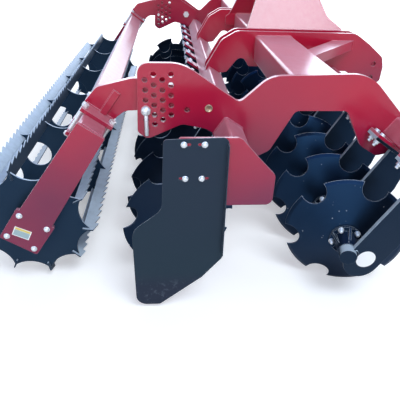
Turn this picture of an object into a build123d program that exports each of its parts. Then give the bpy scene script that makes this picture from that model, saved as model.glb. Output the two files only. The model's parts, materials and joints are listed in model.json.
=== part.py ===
"""Mounted disc harrow: two rows of notched discs in a welded frame, with a toothed-bar roller behind."""
import os
from math import cos, radians, sin, tan

from build123d import *

os.makedirs("parts", exist_ok=True)

# Driving dimensions in millimetres: X forward, Y to the machine's left, Z up from the floor.
DISC_RADIUS = 255.0
DISC_PITCH = 250.0
ROW_STAGGER = 125.0
DISCS_PER_ROW = 12
DISC_YAW = 15.0
FRONT_ROW_AHEAD = 597.0
ROW_SPACING = 712.0
OVERALL_LENGTH = 2086.0
PIVOT_HEIGHT = 757.0
PLATE_SPAN = 2580.0
TOUCH = 0.3
OVERRUN = 60.0

# Disc blade and hub; heights run along the axle from the rim's plane towards the arm.
BLADE_THICKNESS = 6.0
BLADE_EDGE = 1.5
BLADE_BEVEL = 14.0
BLADE_DISH = 48.0
BLADE_FLAT_RADIUS = 74.0
NOTCHES = 6
NOTCH_RADIUS = 52.0
NOTCH_CENTRE_RADIUS = 243.0
NOTCH_ANGLES = (11.0, 13.0, 10.0, 38.0)
HUB_FLANGE_RADIUS = 66.0
HUB_FLANGE_THICKNESS = 12.0
HUB_SHOULDER_RADIUS = 48.0
HUB_NECK_RADIUS = 36.0
HUB_LENGTH = 84.0
HUB_RIBS = 5
HUB_RIB_THICKNESS = 9.0
HUB_GAP = 0.8
AXLE_RADIUS = 17.0
AXLE_CLEARANCE = 0.05
AXLE_DEPTH = 56.0

# Arms: wide flat plates in the direction of travel, each with a skewed boss at its rear edge.
ARM_THICKNESS = 16.0
ARM_HALF_WIDTH = 75.0
ARM_AXLE_OFFSET = 74.0
ARM_SLOPE = 60.0
ARM_KNEE = 260.0
ARM_HEAD_RADIUS = 48.0
BOSS_RADIUS = 34.0
BOSS_LENGTH = 44.0
BEAM_AHEAD = 197.0
BEAM_RISE = 404.0
BEAM_SIDE = 90.0
BEAM_WALL = 8.0
BEAM_CORNER = 10.0
BEAM_TILT = 33.0
BEAM_OVERHANG = 12.0
MOUNT_LENGTH = 230.0
MOUNT_WIDTH = 80.0
MOUNT_THICKNESS = 12.0
FLANGE_THICKNESS = 12.0

# Side plates and the inner cheeks that carry the roller's arms.
PLATE_THICKNESS = 20.0
CHEEK_GAP = 34.0
PLATE_LENGTH = 1130.0
PLATE_HEIGHT = 384.0
PLATE_BEHIND = 283.0
PLATE_LOW = 548.0
DEPTH_HOLE_RADIUS = 11.0
DEPTH_HOLE_PITCH = 39.5
DEPTH_COLUMN_PITCH = 33.0
DEPTH_HOLE_BEHIND = 246.0
DEPTH_HOLE_LOW = 670.0
DEPTH_ROWS = ((0, 6), (0, 6), (1, 5), (1, 5))
LOCK_ROW = 2
STOP_HOLE_BEHIND = 85.0
STOP_HOLE_DROP = 6.0
PIVOT_RADIUS = 14.0
PIVOT_CLEARANCE = 0.05
PIVOT_PROUD = 2.0
PIVOT_HEAD_RADIUS = 26.0
PIVOT_HEAD_LENGTH = 16.0
PIN_SLACK = 0.1
LOCK_HEAD_RADIUS = 19.0
LOCK_HEAD_LENGTH = 14.0
LOCK_HANDLE_RADIUS = 4.0
LOCK_HANDLE_DROP = 100.0
LOCK_SEAT_FLARE = 3.0

# Main beam, hitch plates and three-point tower.
MAIN_BEAM_AHEAD = 422.0
MAIN_BEAM_WIDTH = 206.0
MAIN_BEAM_HEIGHT = 138.0
MAIN_BEAM_TOP = 885.0
MAIN_BEAM_WALL = 8.0
MAIN_BEAM_CORNER = 16.0
HITCH_SPAN = 850.0
HITCH_GAP = 60.0
HITCH_PLATE = 20.0
HITCH_PIN_RADIUS = 14.5
HITCH_PIN_BACK = 60.0
HITCH_PIN_HEIGHT = 663.0
HITCH_UPPER_HOLE_RISE = 77.0
HITCH_LENGTH = 1033.0
HITCH_LOW = 616.0
HITCH_HEIGHT = 292.0
BRACE_HEIGHT = 50.0
BRACE_TOP = 864.0
BRACE_AHEAD = (749.0, 872.0)
BRACE_OUT = (733.0, 864.0)
TOWER_THICKNESS = 16.0
TOWER_AHEAD = 252.0
TOWER_LENGTH = 590.0
TOWER_LOW = 808.0
TOWER_HEIGHT = 520.0
TOWER_BEND = 890.0
TOWER_LEAN = 30.0
TOP_PIN_AHEAD = 720.0
TOP_PIN_HEIGHT = 1285.0
TOP_PIN_RADIUS = 12.75
TOP_EAR_GAP = 54.0
TOP_EAR_THICKNESS = 16.0
TOP_EAR_RADIUS = 42.0
TOP_TUBE_RADIUS = 38.0
TOP_TUBE_BACK = 120.0
TOP_TUBE_PROUD = 8.0

# Roller and the frame that swings it behind the side plates.
ROLLER_BEHIND = 740.0
ROLLER_HEIGHT = 288.0
CUSP_RADIUS = 248.0
SCALLOP_RADIUS = 206.0
BAR_TIP_RADIUS = 272.0
BAR_HEIGHT = 60.0
BAR_THICKNESS = 6.0
BAR_COUNT = 10
BAR_PHASE = 28.0
TOOTH_COUNT = 52
TOOTH_DEPTH = 16.0
ROLLER_BAY = 552.0
ROLLER_BAYS = 5
BAR_OVERHANG = 14.0
STAR_THICKNESS = 8.0
WINDOW_COUNT = 3
WINDOW_RADIUS = 66.0
WINDOW_CENTRE_RADIUS = 118.0
ROLLER_TUBE_RADIUS = 44.5
STUB_RADIUS = 25.0
STUB_CLEARANCE = 0.05
END_ARM_GAP = 42.0
END_ARM_THICKNESS = 15.0
END_ARM_HEAD = 50.0
END_ARM_TOP = 55.0
END_ARM_ANKLE = 70.0
END_ARM_FOOT = 82.0
END_ARM_CORNER = 8.0
BEARING_SIDE = 148.0
BEARING_THICKNESS = 14.0
BEARING_RADIUS = 54.0
BEARING_NOSE = 14.0
ROLLER_BEAM_SIDE = 100.0
ROLLER_BEAM_WALL = 8.0
ROLLER_BEAM_TILT = 36.0
ROLLER_BEAM_BEHIND = 465.0
ROLLER_BEAM_HEIGHT = 685.0
CLAMP_LENGTH = 136.0
CLAMP_WIDTH = 180.0
CLAMP_THICKNESS = 15.0
CLAMP_BOLT_RADIUS = 8.0
CLAMP_BOLT_INSET = 30.0
CLAMP_NUT_RADIUS = 14.0
CLAMP_NUT_LENGTH = 13.0
GOOSENECK_THICKNESS = 28.0
GOOSENECK_BOSS = 58.0
GOOSENECK_HEIGHT = 180.0
RIB_AHEAD = 13.0
RIB_WIDTH = 25.0
RIB_HEIGHT = 106.0
RIB_THICKNESS = 14.0

# Side shield outside the near disc of the rear row.
SHIELD_OUT = 1600.0
SHIELD_BEHIND = 300.0
SHIELD_LOW = 18.0
SHIELD_THICKNESS = 4.0
SHIELD_LENGTH = 345.0
SHIELD_HEIGHT = 747.0
SHIELD_RETURN = 24.0
BRACKET_BEHIND = 125.0
BRACKET_LOW = 498.0
BRACKET_THICKNESS = 10.0
BRACKET_LENGTH = 342.0
BRACKET_HEIGHT = 264.0
SLOT_LENGTH = 34.0
SLOT_WIDTH = 11.0

# Outlines as shares: x of the length, z of the height, corner radius of the height.
side_shares = (
    (0.01, 0.995, 0.11), (0.157, 0.995, 0.40), (0.358, 0.604, 0.07), (0.458, 0.875, 0.30),
    (0.804, 0.906, 0.45), (0.992, 0.37, 0.30), (1.0, 0.07, 0.10), (0.895, 0.0, 0.06),
    (0.826, 0.12, 0.15), (0.749, 0.518, 0.07), (0.56, 0.518, 0.07), (0.482, 0.07, 0.10),
    (0.438, 0.0, 0.04), (0.242, 0.323, 0.15), (0.158, 0.375, 0.12), (0.034, 0.208, 0.08),
    (0.0, 0.29, 0.06),
)
cheek_shares = (
    (0.01, 0.88, 0.09), (0.19, 0.88, 0.3), (0.335, 0.62, 0.08), (0.317, 0.21, 0.05),
) + side_shares[13:]
hitch_shares = (
    (0.006, 0.19, 0.03), (0.01, 0.37, 0.14), (0.088, 0.84, 0.2), (0.166, 1.0, 0.2),
    (0.81, 0.98, 0.3), (0.896, 0.79, 0.2), (0.985, 0.55, 0.14), (1.0, 0.36, 0.1), (1.0, 0.1, 0.08),
    (0.96, 0.0, 0.07), (0.862, 0.13, 0.2), (0.79, 0.28, 0.05), (0.65, 0.28, 0.05),
    (0.63, 0.43, 0.12), (0.47, 0.36, 0.05), (0.24, 0.36, 0.05), (0.203, 0.61, 0.12),
    (0.122, 0.25, 0.05),
)
tower_shares = (
    (0.0, 0.0, 0.02), (0.0, 0.11, 0.03), (0.045, 0.145, 0.03), (0.15, 0.45, 0.2), (0.33, 1.0, 0.08),
    (0.76, 1.0, 0.08), (0.775, 0.46, 0.15), (0.85, 0.3, 0.15), (0.99, 0.19, 0.03), (0.99, 0.0, 0.02),
)
shield_shares = (
    (0.36, 0.99, 0.02), (1.0, 1.0, 0.03), (1.0, 0.32, 0.03), (0.775, 0.19, 0.03),
    (0.28, 0.0, 0.02), (0.0, 0.0, 0.06), (0.0, 0.5, 0.1), (0.33, 0.62, 0.08),
)
bracket_shares = (
    (0.0, 0.4, 0.04), (0.0, 1.0, 0.04), (0.615, 1.0, 0.12), (0.8, 0.73, 0.12),
    (1.0, 0.46, 0.1), (1.0, 0.0, 0.1), (0.48, 0.0, 0.06), (0.44, 0.4, 0.06),
)
shield_bolt_shares = ((0.045, 0.43), (0.26, 0.43), (0.075, 0.915), (0.24, 0.915))
# Gooseneck arm: x of its reach behind the pivot, z of its height about the pivot, corner radius.
gooseneck_shares = (
    (0.0, 0.32, 0.05), (-0.62, 0.62, 0.5), (-0.93, 0.42, 0.25), (-1.06, 0.05, 0.02),
    (-0.88, -0.44, 0.02), (-0.71, -0.1, 0.3), (-0.5, -0.08, 0.3), (0.0, -0.32, 0.05),
)

# Places worked out from the sizes above.
turn = 360 / BAR_COUNT
bar_angles = [radians(BAR_PHASE + turn * k) for k in range(BAR_COUNT)]
bar_reach = max(BAR_THICKNESS / 2 * abs(sin(angle)) - BAR_TIP_RADIUS * cos(angle) for angle in bar_angles)
roller_x = bar_reach - OVERALL_LENGTH / 2
pivot_x = roller_x + ROLLER_BEHIND
front_row_x = pivot_x + FRONT_ROW_AHEAD
rear_row_x = front_row_x - ROW_SPACING
row_half = (DISCS_PER_ROW - 1) * DISC_PITCH / 2
front_row_ys = [k * DISC_PITCH - row_half - ROW_STAGGER / 2 for k in range(DISCS_PER_ROW)]
rear_row_ys = [k * DISC_PITCH - row_half + ROW_STAGGER / 2 for k in range(DISCS_PER_ROW)]
hub_end = BLADE_DISH + BLADE_THICKNESS + HUB_LENGTH
arm_stack = hub_end + HUB_GAP + BOSS_LENGTH / 2
arm_back = arm_stack * sin(radians(DISC_YAW))
arm_out = arm_stack * cos(radians(DISC_YAW))
beam_z = DISC_RADIUS + BEAM_RISE
plate_outer = PLATE_SPAN / 2
plate_inner = plate_outer - PLATE_THICKNESS
cheek_outer = plate_inner - CHEEK_GAP
cheek_inner = cheek_outer - PLATE_THICKNESS
gooseneck_y = plate_inner - CHEEK_GAP / 2
nose_x = OVERALL_LENGTH / 2
hitch_outer = HITCH_SPAN / 2 + HITCH_GAP / 2 + HITCH_PLATE
hitch_inner = HITCH_SPAN / 2 - HITCH_GAP / 2 - HITCH_PLATE
bar_half = ROLLER_BAYS * ROLLER_BAY / 2 + BAR_OVERHANG
end_arm_inner = bar_half + END_ARM_GAP
tower_x = pivot_x + TOWER_AHEAD
tube_rise = TOP_PIN_HEIGHT - TOP_TUBE_RADIUS - TOWER_BEND
top_tube_half = hitch_inner - tube_rise * tan(radians(TOWER_LEAN)) + TOP_TUBE_PROUD


def upright(y):
    """Fore-and-aft sketch plane at y: its x is forward, its y is up and it faces the near side."""
    return Plane(origin=(0, y, 0), x_dir=(1, 0, 0), z_dir=(0, -1, 0))


def tilted(x, y, z, angle):
    """Like upright, at a point and turned down to the front by an angle."""
    slope = (cos(radians(angle)), 0, -sin(radians(angle)))
    return Plane(origin=(x, y, z), x_dir=slope, z_dir=(0, -1, 0))


def outline(shares, x, z, length, height):
    """Closed sketch of a plate from its table of shares."""
    with BuildSketch() as profile:
        with BuildLine():
            corners = [(x + length * along, z + height * up) for along, up, _ in shares]
            FilletPolyline(*corners, radius=[height * r for _, _, r in shares], close=True)
        make_face()
    return profile.sketch


def write(piece, node):
    """Label a finished piece and write its file."""
    piece.part.label = node
    export_step(piece.part, f"parts/{node}.step")


# Tool beams: square tubes turned on edge, with a mounting plate under each arm.
def tool_beam(x, near_y, far_y, arm_ys):
    with BuildPart() as beam:
        with BuildSketch(tilted(x, far_y, beam_z, BEAM_TILT)):
            RectangleRounded(BEAM_SIDE, BEAM_SIDE, BEAM_CORNER)
            bore = BEAM_SIDE - 2 * BEAM_WALL
            Rectangle(bore, bore, mode=Mode.SUBTRACT)
        extrude(amount=far_y - near_y)
        for y in arm_ys:
            with BuildSketch(tilted(x, y + MOUNT_WIDTH / 2, beam_z, BEAM_TILT)):
                with Locations((0, -(BEAM_SIDE + MOUNT_THICKNESS) / 2)):
                    Rectangle(MOUNT_LENGTH, MOUNT_THICKNESS)
            extrude(amount=MOUNT_WIDTH)
    return beam


def beam_hole(x):
    """The space that a tool beam takes, to cut from the plates it runs through."""
    with BuildPart() as hole:
        with BuildSketch(tilted(x, plate_outer + OVERRUN, beam_z, BEAM_TILT)):
            RectangleRounded(BEAM_SIDE, BEAM_SIDE, BEAM_CORNER)
        extrude(amount=2 * (plate_outer + OVERRUN))
    return hole.part


front_beam_x = front_row_x + BEAM_AHEAD
rear_beam_x = rear_row_x + BEAM_AHEAD
front_arm_ys = [y - arm_out for y in front_row_ys]
rear_arm_ys = [y + arm_out for y in rear_row_ys]
beam_reach = front_arm_ys[0] - MOUNT_WIDTH / 2
shield_inner = SHIELD_OUT - SHIELD_THICKNESS
bracket_inner = shield_inner - BRACKET_THICKNESS
front_beam = tool_beam(front_beam_x, beam_reach, plate_outer + BEAM_OVERHANG, front_arm_ys)
rear_beam = tool_beam(rear_beam_x, -bracket_inner, -beam_reach, rear_arm_ys)
write(front_beam, "front_beam")
write(rear_beam, "rear_beam")
beam_holes = [beam_hole(front_beam_x), beam_hole(rear_beam_x)]


# Arms of one row: plates hanging under their flanges, each with the boss and axle of its disc.
def arm_row(row_x, arm_ys, side):
    """side is -1 where the arms stand on the near side of their discs, 1 where on the far side."""
    axle_x = row_x - arm_back
    beam_x = row_x + BEAM_AHEAD
    slope = radians(ARM_SLOPE)
    along = (cos(slope), sin(slope))
    ahead = (sin(slope), -cos(slope))
    foot = (axle_x + ARM_AXLE_OFFSET * ahead[0], DISC_RADIUS + ARM_AXLE_OFFSET * ahead[1])
    knee = (foot[0] + ARM_KNEE * along[0], foot[1] + ARM_KNEE * along[1])
    reach = BEAM_RISE / sin(slope)
    back = ARM_HALF_WIDTH - ARM_HEAD_RADIUS
    head = (foot[0] + reach * along[0] - back * ahead[0], foot[1] + reach * along[1] - back * ahead[1])
    drop = BEAM_SIDE / 2 + MOUNT_THICKNESS
    tilt = radians(BEAM_TILT)
    normal = (sin(tilt), 0, cos(tilt))
    depth = drop + FLANGE_THICKNESS
    seat = (beam_x - depth * normal[0], 0, beam_z - depth * normal[2])
    outward = (-sin(radians(DISC_YAW)), side * cos(radians(DISC_YAW)), 0)
    with BuildPart() as arms:
        for y in arm_ys:
            with BuildSketch(upright(y + ARM_THICKNESS / 2)):
                with Locations(foot, knee):
                    Circle(ARM_HALF_WIDTH)
                with Locations(head):
                    Circle(ARM_HEAD_RADIUS)
                make_hull()
            extrude(amount=ARM_THICKNESS)
        split(bisect_by=Plane(origin=seat, z_dir=normal), keep=Keep.BOTTOM)
        for y in arm_ys:
            with BuildSketch(tilted(beam_x, y + MOUNT_WIDTH / 2, beam_z, BEAM_TILT)):
                with Locations((0, -drop - FLANGE_THICKNESS / 2)):
                    Rectangle(MOUNT_LENGTH, FLANGE_THICKNESS)
            extrude(amount=MOUNT_WIDTH)
            axle = Plane(origin=(axle_x, y, DISC_RADIUS), z_dir=outward)
            with BuildSketch(axle.offset(-BOSS_LENGTH / 2)):
                Circle(BOSS_RADIUS)
            extrude(amount=BOSS_LENGTH)
            with BuildSketch(axle.offset(-BOSS_LENGTH / 2 - HUB_GAP - AXLE_DEPTH)):
                Circle(AXLE_RADIUS)
            extrude(amount=AXLE_DEPTH + HUB_GAP + BOSS_LENGTH / 2)
    return arms


write(arm_row(front_row_x, front_arm_ys, -1), "front_arms")
write(arm_row(rear_row_x, rear_arm_ys, 1), "rear_arms")


# Notched disc with its ribbed hub, made about its own axis and turned to each rest angle.
def notched_disc(notch_angle):
    slant = BLADE_DISH / (DISC_RADIUS - BLADE_FLAT_RADIUS)
    skin = BLADE_THICKNESS * (1 + slant**2) ** 0.5
    bevel_height = BLADE_BEVEL * slant + skin
    back = BLADE_DISH + BLADE_THICKNESS
    flange_top = back + HUB_FLANGE_THICKNESS
    with BuildPart() as disc:
        with BuildSketch(Plane.XZ):
            with BuildLine():
                Polyline(
                    (0, BLADE_DISH), (BLADE_FLAT_RADIUS, BLADE_DISH), (DISC_RADIUS, 0),
                    (DISC_RADIUS, BLADE_EDGE), (DISC_RADIUS - BLADE_BEVEL, bevel_height),
                    (BLADE_FLAT_RADIUS, back), (HUB_FLANGE_RADIUS, back),
                    (HUB_FLANGE_RADIUS, flange_top), (HUB_SHOULDER_RADIUS, flange_top),
                    (HUB_NECK_RADIUS, hub_end), (0, hub_end), close=True,
                )
            make_face()
        revolve(axis=Axis.Z)
        with BuildSketch():
            with PolarLocations(NOTCH_CENTRE_RADIUS, NOTCHES, start_angle=notch_angle + 180 / NOTCHES - 90):
                Circle(NOTCH_RADIUS)
        extrude(amount=back, mode=Mode.SUBTRACT)
        for k in range(HUB_RIBS):
            spoke = Plane.XZ.rotated((0, 0, 360 / HUB_RIBS * k + notch_angle))
            with BuildSketch(spoke):
                Polygon(
                    (0, back), (HUB_FLANGE_RADIUS, back), (HUB_FLANGE_RADIUS, flange_top),
                    (HUB_NECK_RADIUS, hub_end - HUB_FLANGE_THICKNESS), (0, hub_end - HUB_FLANGE_THICKNESS),
                    align=None,
                )
            extrude(amount=HUB_RIB_THICKNESS / 2, both=True)
        with BuildSketch(Plane.XY.offset(hub_end)):
            Circle(AXLE_RADIUS + AXLE_CLEARANCE)
        extrude(amount=-AXLE_DEPTH - HUB_GAP, mode=Mode.SUBTRACT)
    return disc.part


disc_shapes = [notched_disc(angle) for angle in NOTCH_ANGLES]
for row, row_x, ys, side in (("front", front_row_x, front_row_ys, -1), ("rear", rear_row_x, rear_row_ys, 1)):
    axle_dir = (-sin(radians(DISC_YAW)), side * cos(radians(DISC_YAW)), 0)
    across = (cos(radians(DISC_YAW)) * -side, -sin(radians(DISC_YAW)), 0)
    for k, y in enumerate(ys):
        seat = Plane(origin=(row_x, y, DISC_RADIUS), x_dir=across, z_dir=axle_dir)
        with BuildPart() as disc:
            with Locations(seat.location):
                add(disc_shapes[k % len(disc_shapes)])
        write(disc, f"disc_{row}_{k + 1:02d}")


# Main beam across the machine, between the side plates.
main_beam_x = pivot_x + MAIN_BEAM_AHEAD
main_beam_z = MAIN_BEAM_TOP - MAIN_BEAM_HEIGHT / 2
with BuildPart() as main_beam:
    with BuildSketch(upright(plate_inner)):
        with Locations((main_beam_x, main_beam_z)):
            RectangleRounded(MAIN_BEAM_WIDTH, MAIN_BEAM_HEIGHT, MAIN_BEAM_CORNER)
            bore = (MAIN_BEAM_WIDTH - 2 * MAIN_BEAM_WALL, MAIN_BEAM_HEIGHT - 2 * MAIN_BEAM_WALL)
            Rectangle(*bore, mode=Mode.SUBTRACT)
    extrude(amount=2 * plate_inner)
write(main_beam, "main_beam")
with BuildPart() as main_beam_hole:
    with BuildSketch(upright(plate_inner)):
        with Locations((main_beam_x, main_beam_z)):
            RectangleRounded(MAIN_BEAM_WIDTH, MAIN_BEAM_HEIGHT, MAIN_BEAM_CORNER)
    extrude(amount=2 * plate_inner)

# Side plates with the staggered depth holes, and the inner cheeks behind them.
depth_holes = []
for column, (first, count) in enumerate(DEPTH_ROWS):
    for row in range(first, first + count):
        hole_x = pivot_x - DEPTH_HOLE_BEHIND + column * DEPTH_COLUMN_PITCH
        depth_holes.append((hole_x, DEPTH_HOLE_LOW + (row + column % 2 / 2) * DEPTH_HOLE_PITCH))
lock_spot = (pivot_x - DEPTH_HOLE_BEHIND, DEPTH_HOLE_LOW + LOCK_ROW * DEPTH_HOLE_PITCH)
stop_spot = (pivot_x - STOP_HOLE_BEHIND, PIVOT_HEIGHT - STOP_HOLE_DROP)


def drilled_plate(shares, near_y, holes):
    """A plate of the side plates' outline family, from near_y outwards, with pivot and depth holes."""
    with BuildPart() as plate:
        with BuildSketch(upright(-near_y)):
            add(outline(shares, pivot_x - PLATE_BEHIND, PLATE_LOW, PLATE_LENGTH, PLATE_HEIGHT))
            with Locations((pivot_x, PIVOT_HEIGHT)):
                Circle(PIVOT_RADIUS, mode=Mode.SUBTRACT)
            with Locations(*holes):
                Circle(DEPTH_HOLE_RADIUS, mode=Mode.SUBTRACT)
        extrude(amount=PLATE_THICKNESS)
        add(beam_holes, mode=Mode.SUBTRACT)
    return plate


def opposite(piece):
    """The same piece on the machine's left."""
    with BuildPart() as other:
        add(mirror(piece.part, about=Plane.XZ, mode=Mode.PRIVATE))
    return other


side_plate = drilled_plate(side_shares, plate_inner, depth_holes + [stop_spot])
write(side_plate, "side_plate_right")
write(opposite(side_plate), "side_plate_left")
cheek_top = PLATE_LOW + PLATE_HEIGHT * cheek_shares[0][1]
cheek_holes = [spot for spot in depth_holes if spot[1] < cheek_top - 2 * DEPTH_HOLE_RADIUS]
cheek = drilled_plate(cheek_shares, cheek_inner, cheek_holes)
write(cheek, "roller_cheek_right")
write(opposite(cheek), "roller_cheek_left")

# Pivot bolts of the roller's arms: almost flush outside, hexagon heads inside the cheeks.
with BuildPart() as pivot_bolts:
    for side in (-1, 1):
        with BuildSketch(upright(side * gooseneck_y)):
            with Locations((pivot_x, PIVOT_HEIGHT)):
                Circle(PIVOT_RADIUS)
        extrude(amount=CHEEK_GAP / 2 + PLATE_THICKNESS + PIVOT_PROUD, both=True)
        with BuildSketch(upright(side * cheek_inner)):
            with Locations((pivot_x, PIVOT_HEIGHT)):
                RegularPolygon(PIVOT_HEAD_RADIUS, 6)
        extrude(amount=side * PIVOT_HEAD_LENGTH)
write(pivot_bolts, "pivot_bolts")

# Lock pins under the roller's arms, each with a head and a hanging handle.
with BuildPart() as lock_pins:
    for side in (-1, 1):
        out = -side
        with BuildSketch(upright(side * plate_outer)):
            with Locations(lock_spot):
                Circle(DEPTH_HOLE_RADIUS - PIN_SLACK)
        extrude(amount=-out * (plate_outer - cheek_inner))
        with BuildSketch(upright(side * plate_outer)):
            with Locations(lock_spot):
                Circle(LOCK_HEAD_RADIUS)
        extrude(amount=out * LOCK_HEAD_LENGTH)
        rod_y = side * (plate_outer + LOCK_HEAD_LENGTH / 2)
        with BuildSketch(Plane(origin=(lock_spot[0], rod_y, lock_spot[1]), z_dir=(0, 0, -1))):
            Circle(LOCK_HANDLE_RADIUS)
        extrude(amount=LOCK_HANDLE_DROP)
write(lock_pins, "lock_pins")

# Hitch plates: a pair on each side, bored for the lower links, with a brace out to the main beam.
hitch_pin = (nose_x - HITCH_PIN_BACK, HITCH_PIN_HEIGHT)
beam_front_x = main_beam_x + MAIN_BEAM_WIDTH / 2
brace_corners = [
    (pivot_x + BRACE_AHEAD[0], -hitch_outer), (pivot_x + BRACE_AHEAD[1], -hitch_outer),
    (beam_front_x, -BRACE_OUT[1]), (beam_front_x, -BRACE_OUT[0]),
]


def hitch_pair():
    with BuildPart() as pair:
        for near_y in (-hitch_inner, -hitch_outer + HITCH_PLATE):
            with BuildSketch(upright(near_y)):
                add(outline(hitch_shares, nose_x - HITCH_LENGTH, HITCH_LOW, HITCH_LENGTH, HITCH_HEIGHT))
                with Locations(hitch_pin, (hitch_pin[0], hitch_pin[1] + HITCH_UPPER_HOLE_RISE)):
                    Circle(HITCH_PIN_RADIUS, mode=Mode.SUBTRACT)
            extrude(amount=HITCH_PLATE)
        add([*beam_holes, main_beam_hole.part], mode=Mode.SUBTRACT)
        with BuildSketch(Plane.XY.offset(BRACE_TOP)):
            Polygon(*brace_corners, align=None)
        extrude(amount=-BRACE_HEIGHT)
    return pair


hitch_plates = hitch_pair()
write(hitch_plates, "hitch_plates_right")
write(opposite(hitch_plates), "hitch_plates_left")

# Tower for the top link: two plates bent inwards, a cross tube and a pair of ears.
lean = radians(TOWER_LEAN)
inner_bend = TOWER_BEND - TOWER_THICKNESS * tan(lean / 2)
tower_top = TOWER_LOW + TOWER_HEIGHT
lean_shift = (tower_top - TOWER_BEND) * tan(lean)
bent_sheet = [
    (hitch_inner, TOWER_LOW), (hitch_inner, TOWER_BEND), (hitch_inner - lean_shift, tower_top),
    (hitch_inner - lean_shift - TOWER_THICKNESS / cos(lean), tower_top),
    (hitch_inner - TOWER_THICKNESS, inner_bend), (hitch_inner - TOWER_THICKNESS, TOWER_LOW),
]
tube_spot = (pivot_x + TOP_PIN_AHEAD - TOP_TUBE_BACK, TOP_PIN_HEIGHT)
top_spot = (pivot_x + TOP_PIN_AHEAD, TOP_PIN_HEIGHT)
with BuildPart() as tower:
    with BuildSketch(Plane.YZ.offset(tower_x)):
        for side in (-1, 1):
            Polygon(*[(side * y, z) for y, z in bent_sheet], align=None)
    extrude(amount=TOWER_LENGTH)
    with BuildSketch(upright(hitch_inner)):
        add(outline(tower_shares, tower_x, TOWER_LOW, TOWER_LENGTH, TOWER_HEIGHT))
    extrude(amount=2 * hitch_inner, mode=Mode.INTERSECT)
    add(main_beam_hole.part, mode=Mode.SUBTRACT)
    with BuildSketch(upright(top_tube_half)):
        with Locations(tube_spot):
            Circle(TOP_TUBE_RADIUS)
    extrude(amount=2 * top_tube_half)
    for face in (-TOP_EAR_GAP / 2, TOP_EAR_GAP / 2 + TOP_EAR_THICKNESS):
        with BuildSketch(upright(face)):
            with Locations(tube_spot):
                Circle(TOP_TUBE_RADIUS + TOP_EAR_THICKNESS)
            with Locations(top_spot):
                Circle(TOP_EAR_RADIUS)
            make_hull()
            with Locations(top_spot):
                Circle(TOP_PIN_RADIUS, mode=Mode.SUBTRACT)
        extrude(amount=TOP_EAR_THICKNESS)
write(tower, "tower")

# Shield plate with its folded front edge, and the bracket at the rear beam's near end.
bracket_x = pivot_x - BRACKET_BEHIND
shield_bolts = []
for along, up in shield_bolt_shares:
    shield_bolts.append((bracket_x + BRACKET_LENGTH * along, BRACKET_LOW + BRACKET_HEIGHT * up))
with BuildPart() as shield:
    with BuildSketch(upright(-shield_inner)):
        add(outline(shield_shares, pivot_x - SHIELD_BEHIND, SHIELD_LOW, SHIELD_LENGTH, SHIELD_HEIGHT))
        with Locations(*shield_bolts):
            SlotOverall(SLOT_LENGTH, SLOT_WIDTH, mode=Mode.SUBTRACT)
    extrude(amount=SHIELD_THICKNESS)
    fold_low = SHIELD_LOW + SHIELD_HEIGHT * shield_shares[2][1] + SHIELD_HEIGHT * shield_shares[2][2]
    fold_high = SHIELD_LOW + SHIELD_HEIGHT * (1 - shield_shares[1][2])
    with BuildSketch(upright(-shield_inner)):
        with Locations((pivot_x - SHIELD_BEHIND + SHIELD_LENGTH, (fold_low + fold_high) / 2)):
            Rectangle(SHIELD_THICKNESS, fold_high - fold_low, align=(Align.MAX, Align.CENTER))
    extrude(amount=SHIELD_RETURN)
write(shield, "side_shield")
with BuildPart() as bracket:
    with BuildSketch(upright(-bracket_inner)):
        add(outline(bracket_shares, bracket_x, BRACKET_LOW, BRACKET_LENGTH, BRACKET_HEIGHT))
    extrude(amount=BRACKET_THICKNESS)
write(bracket, "shield_bracket")

# Roller frame: gooseneck arms, clamps, cross beam and end arms.
beam_spot = (pivot_x - ROLLER_BEAM_BEHIND, ROLLER_BEAM_HEIGHT)


def clamp_plane(y):
    """Plane through the cross beam's centre: x down its slope, z square to its upper face."""
    slope = radians(ROLLER_BEAM_TILT)
    centre = (beam_spot[0], y, beam_spot[1])
    return Plane(origin=centre, x_dir=(cos(slope), 0, -sin(slope)), z_dir=(sin(slope), 0, cos(slope)))


clamp_lift = ROLLER_BEAM_SIDE / 2 + CLAMP_THICKNESS
seat_radius = DEPTH_HOLE_RADIUS + TOUCH
mouth_half = seat_radius + LOCK_SEAT_FLARE
mouth_z = lock_spot[1] - 2 * DEPTH_HOLE_RADIUS
seat_mouth = [
    (lock_spot[0] - seat_radius, lock_spot[1]), (lock_spot[0] + seat_radius, lock_spot[1]),
    (lock_spot[0] + mouth_half, mouth_z), (lock_spot[0] - mouth_half, mouth_z),
]
with BuildPart() as gooseneck:
    with BuildSketch(upright(GOOSENECK_THICKNESS / 2 - gooseneck_y)):
        add(outline(gooseneck_shares, pivot_x, PIVOT_HEIGHT, ROLLER_BEAM_BEHIND, GOOSENECK_HEIGHT))
        with Locations((pivot_x, PIVOT_HEIGHT)):
            Circle(GOOSENECK_BOSS)
            Circle(PIVOT_RADIUS + PIVOT_CLEARANCE, mode=Mode.SUBTRACT)
        with Locations(lock_spot):
            Circle(seat_radius, mode=Mode.SUBTRACT)
        Polygon(*seat_mouth, align=None, mode=Mode.SUBTRACT)
    extrude(amount=GOOSENECK_THICKNESS)
    split(bisect_by=clamp_plane(0).offset(clamp_lift), keep=Keep.TOP)
    rib_y = -gooseneck_y - GOOSENECK_THICKNESS / 2
    with BuildSketch(tilted(beam_spot[0], rib_y, beam_spot[1], ROLLER_BEAM_TILT)):
        with Locations((RIB_AHEAD, clamp_lift + RIB_HEIGHT / 2)):
            Rectangle(RIB_WIDTH, RIB_HEIGHT)
    extrude(amount=RIB_THICKNESS)
write(gooseneck, "gooseneck_right")
write(opposite(gooseneck), "gooseneck_left")

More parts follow.
